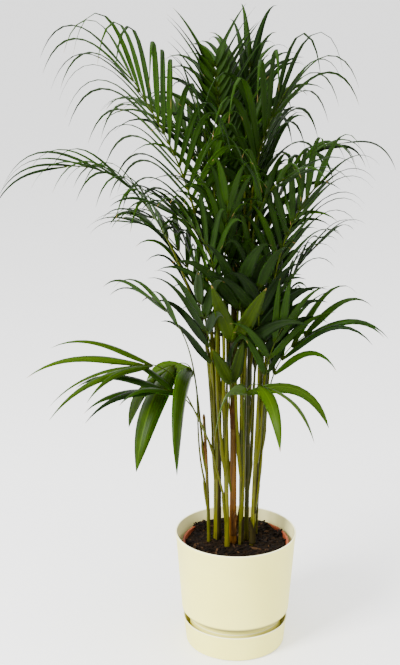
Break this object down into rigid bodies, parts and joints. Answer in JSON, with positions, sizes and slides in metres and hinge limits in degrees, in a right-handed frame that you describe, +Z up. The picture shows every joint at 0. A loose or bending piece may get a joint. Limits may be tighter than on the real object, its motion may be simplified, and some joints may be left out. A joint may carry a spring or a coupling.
{
  "type": "potted areca palm",
  "caption": "Areca palm: a clump of slim canes with arching feathery fronds, in a nursery pot standing in a tapered cream planter with its saucer",
  "frame": {"origin": "centre of the saucer's flat underside, where the pot stands", "axes": "+Z up along the canes, +X to the plant's right in the front view, -Y towards the viewer"},
  "size_m": [0.7669, 0.5659, 1.2987],
  "materials": {
    "planter_plastic": "matte",
    "nursery_plastic": "matte",
    "soil": "rough",
    "cane": "satin",
    "leaf": "satin"
  },
  "bodies": {
    "root": {"saucer": "planter_plastic", "outer_pot": "planter_plastic", "nursery_pot": "nursery_plastic", "potting_soil": "soil", "cane_1": "cane", "cane_2": "cane", "cane_3": "cane", "cane_4": "cane", "cane_5": "cane", "cane_6": "cane", "cane_7": "cane", "cane_8": "cane", "frond_left_arch": "leaf", "frond_left_broad": "leaf", "frond_right_front": "leaf", "frond_front_low": "leaf", "frond_front_upright": "leaf", "frond_mid_front": "leaf", "frond_mid_front_left": "leaf", "frond_mid_front_right": "leaf", "frond_mid_broad": "leaf", "frond_mid_broad_left": "leaf", "frond_top_left": "leaf", "frond_top_centre": "leaf", "frond_top_right": "leaf", "frond_right_fan": "leaf", "frond_right_arch": "leaf", "frond_left_low": "leaf", "frond_left_front": "leaf", "frond_left_small": "leaf", "frond_right_low": "leaf", "frond_right_mid": "leaf", "frond_back_left": "leaf", "frond_back_right": "leaf", "frond_left_inner": "leaf", "frond_left_back": "leaf", "frond_mid_left": "leaf", "frond_front_left": "leaf", "frond_front_high": "leaf", "frond_top_inner_left": "leaf", "frond_back_centre": "leaf", "frond_back_crown": "leaf", "frond_front_right": "leaf", "frond_front_mid": "leaf", "frond_top_inner_right": "leaf", "frond_mid_back": "leaf", "frond_mid_right": "leaf", "frond_right_back": "leaf", "frond_back_low": "leaf"}
  },
  "joints": []
}
